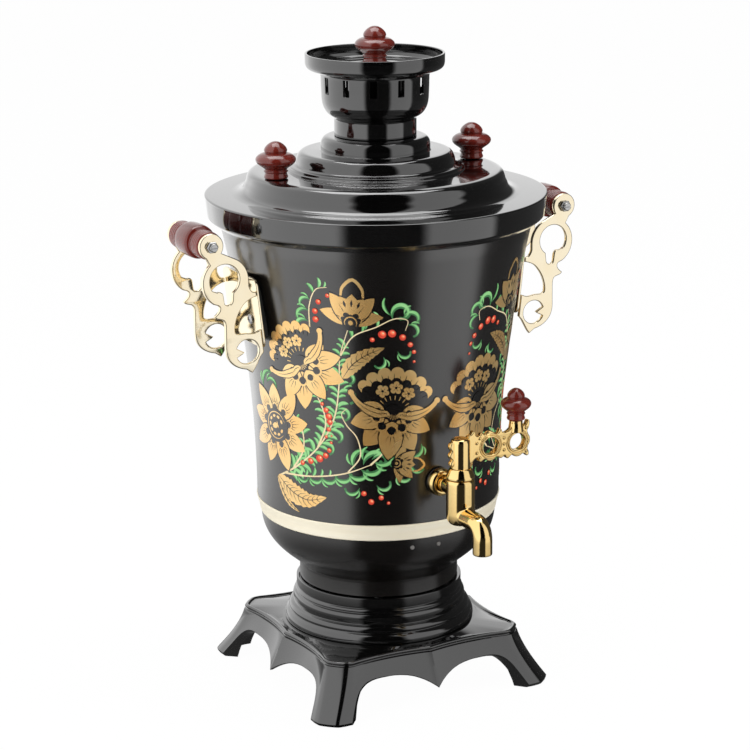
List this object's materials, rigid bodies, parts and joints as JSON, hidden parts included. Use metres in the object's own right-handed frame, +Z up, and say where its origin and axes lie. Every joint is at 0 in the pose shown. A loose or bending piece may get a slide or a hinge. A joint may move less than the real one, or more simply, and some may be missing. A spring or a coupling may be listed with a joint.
{
  "type": "electric samovar",
  "caption": "Electric samovar: flared round body on a skirted four-legged stand, stepped lid with slotted crown, lever tap in front, scroll handles at the sides.",
  "frame": {"origin": "on the table, under the middle of the stand and of the round body", "axes": "+Z up along the body's axis, -Y towards the tap (front), +Y towards the power inlet (rear), handles at -X and +X"},
  "size_m": [0.3048, 0.2777, 0.4755],
  "materials": {
    "black_lacquer": "high gloss black lacquer",
    "satin_black": "semi-gloss black enamel",
    "brass": "polished pale gold",
    "dark_red": "gloss dark red brown",
    "steel": "plain steel",
    "polished_steel": "polished",
    "black_plastic": "matt",
    "rubber": "matt",
    "lens": "clear grey lens, unlit"
  },
  "bodies": {
    "samovar": {"base_stand": "black_lacquer", "pedestal_collar": "black_lacquer", "rim_ring": "black_lacquer", "lower_bowl": "satin_black", "body_shell": "satin_black", "gold_band": "brass", "tap_body": "brass", "tap_flange": "brass", "tap_nut": "brass", "tap_bonnet": "brass", "left_handle_plate_front": "brass", "left_handle_plate_rear": "brass", "left_handle_bracket": "brass", "right_handle_plate_front": "brass", "right_handle_plate_rear": "brass", "right_handle_bracket": "brass", "left_grip": "dark_red", "right_grip": "dark_red", "inner_tank": "steel", "heating_element": "steel", "heater_nut_left": "steel", "heater_nut_right": "steel", "tie_rod": "steel", "tie_nut": "steel", "left_grip_bolt": "steel", "left_grip_nut": "steel", "left_handle_screw_front": "steel", "left_handle_screw_rear": "steel", "right_grip_bolt": "steel", "right_grip_nut": "steel", "right_handle_screw_front": "steel", "right_handle_screw_rear": "steel", "bottom_cover": "black_plastic", "thermostat": "black_plastic", "power_inlet": "black_plastic", "foot_pad_back_right": "rubber", "foot_pad_back_left": "rubber", "foot_pad_front_left": "rubber", "foot_pad_front_right": "rubber", "tap_gasket": "rubber", "wire_left": "rubber", "wire_right": "rubber", "left_handle_pad": "rubber", "right_handle_pad": "rubber", "indicator_lens_left": "lens", "indicator_lens_right": "lens"},
    "tap_key": {"tap_key": "brass", "tap_key_knob": "dark_red"},
    "lid": {"lid": "black_lacquer", "lid_knob_left": "dark_red", "lid_knob_right": "dark_red", "lid_knob_screw_left": "steel", "lid_knob_screw_right": "steel"},
    "crown": {"crown": "black_lacquer", "chimney_tube": "black_lacquer"},
    "cap": {"cap": "polished_steel", "cap_knob": "dark_red", "cap_knob_screw": "steel"},
    "rocker": {"rocker_switch": "black_plastic"}
  },
  "joints": [
    {"name": "tap_turn", "type": "hinge", "parent": "samovar", "child": "tap_key", "pos_m": [0, -0.1195, 0.168], "axis": [0, 0, 1], "range_deg": [-90, 0]},
    {"name": "lid_lift", "type": "slide", "parent": "samovar", "child": "lid", "axis": [0, 0, 1], "range_m": [0, 0.15]},
    {"name": "crown_lift", "type": "slide", "parent": "lid", "child": "crown", "axis": [0, 0, 1], "range_m": [0, 0.06]},
    {"name": "cap_lift", "type": "slide", "parent": "crown", "child": "cap", "axis": [0, 0, 1], "range_m": [0, 0.05]},
    {"name": "rocker_tilt", "type": "hinge", "parent": "samovar", "child": "rocker", "pos_m": [0.0142, 0.0795, 0.1064], "axis": [1, 0, 0], "range_deg": [-8, 8]}
  ]
}
